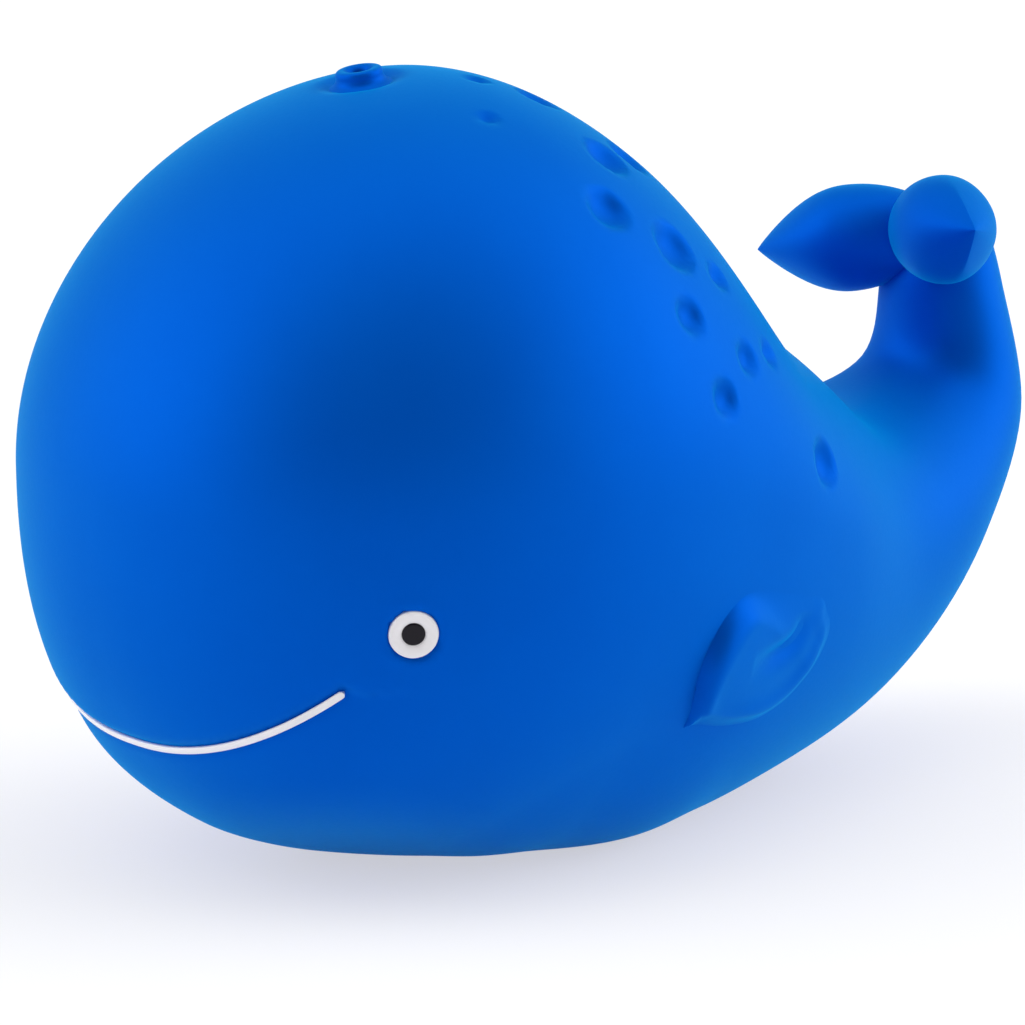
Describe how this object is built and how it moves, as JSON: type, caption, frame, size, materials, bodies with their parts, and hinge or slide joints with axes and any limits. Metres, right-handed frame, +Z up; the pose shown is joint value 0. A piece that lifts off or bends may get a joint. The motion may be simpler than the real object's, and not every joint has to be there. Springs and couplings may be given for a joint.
{
  "type": "squeaky bath toy",
  "caption": "Hollow blue rubber whale that stands on a flat base, with a curled tail, painted eyes and mouth, and a reed squeaker in the underside that sounds when the cheeks are squeezed.",
  "frame": {"origin": "on the surface that the whale stands on, under the middle of its bounding box", "axes": "+Z up, -Y the way the whale faces, +X the whale's left side"},
  "size_m": [0.078, 0.1304, 0.0839],
  "materials": {
    "blue_rubber": "matte natural rubber, dyed blue",
    "white_paint": "satin white paint",
    "black_paint": "gloss black paint",
    "squeaker_plastic": "moulded off-white plastic",
    "reed_block_plastic": "moulded pale grey plastic",
    "reed_film": "stiff amber film"
  },
  "bodies": {
    "whale": {"body_skin": "blue_rubber", "mouth_line": "white_paint", "squeaker_cup": "squeaker_plastic", "squeaker_cap": "squeaker_plastic", "reed_block": "reed_block_plastic", "reed_wedge": "reed_block_plastic"},
    "left_cheek": {"left_eye_white": "white_paint", "left_pupil": "black_paint"},
    "right_cheek": {"right_eye_white": "white_paint", "right_pupil": "black_paint"},
    "tongue": {"reed": "reed_film"}
  },
  "joints": [
    {"name": "cheek_squeeze_left", "type": "slide", "parent": "whale", "child": "left_cheek", "axis": [-1, 0, 0], "range_m": [0, 0.0056], "stiffness_N_per_m": 400, "deforming": ["body_skin", "mouth_line"]},
    {"name": "cheek_squeeze_right", "type": "slide", "parent": "whale", "child": "right_cheek", "axis": [1, 0, 0], "range_m": [0, 0.0056], "stiffness_N_per_m": 400, "deforming": ["body_skin", "mouth_line"]},
    {"name": "reed_flutter", "type": "hinge", "parent": "whale", "child": "tongue", "pos_m": [0, -0.01579, 0.0064], "axis": [1, 0, 0], "range_deg": [-4, 4], "stiffness_Nm_per_rad": 0.0002}
  ],
  "couplings": [
    {"joint": "cheek_squeeze_right", "follows": "cheek_squeeze_left", "ratio": 1}
  ]
}
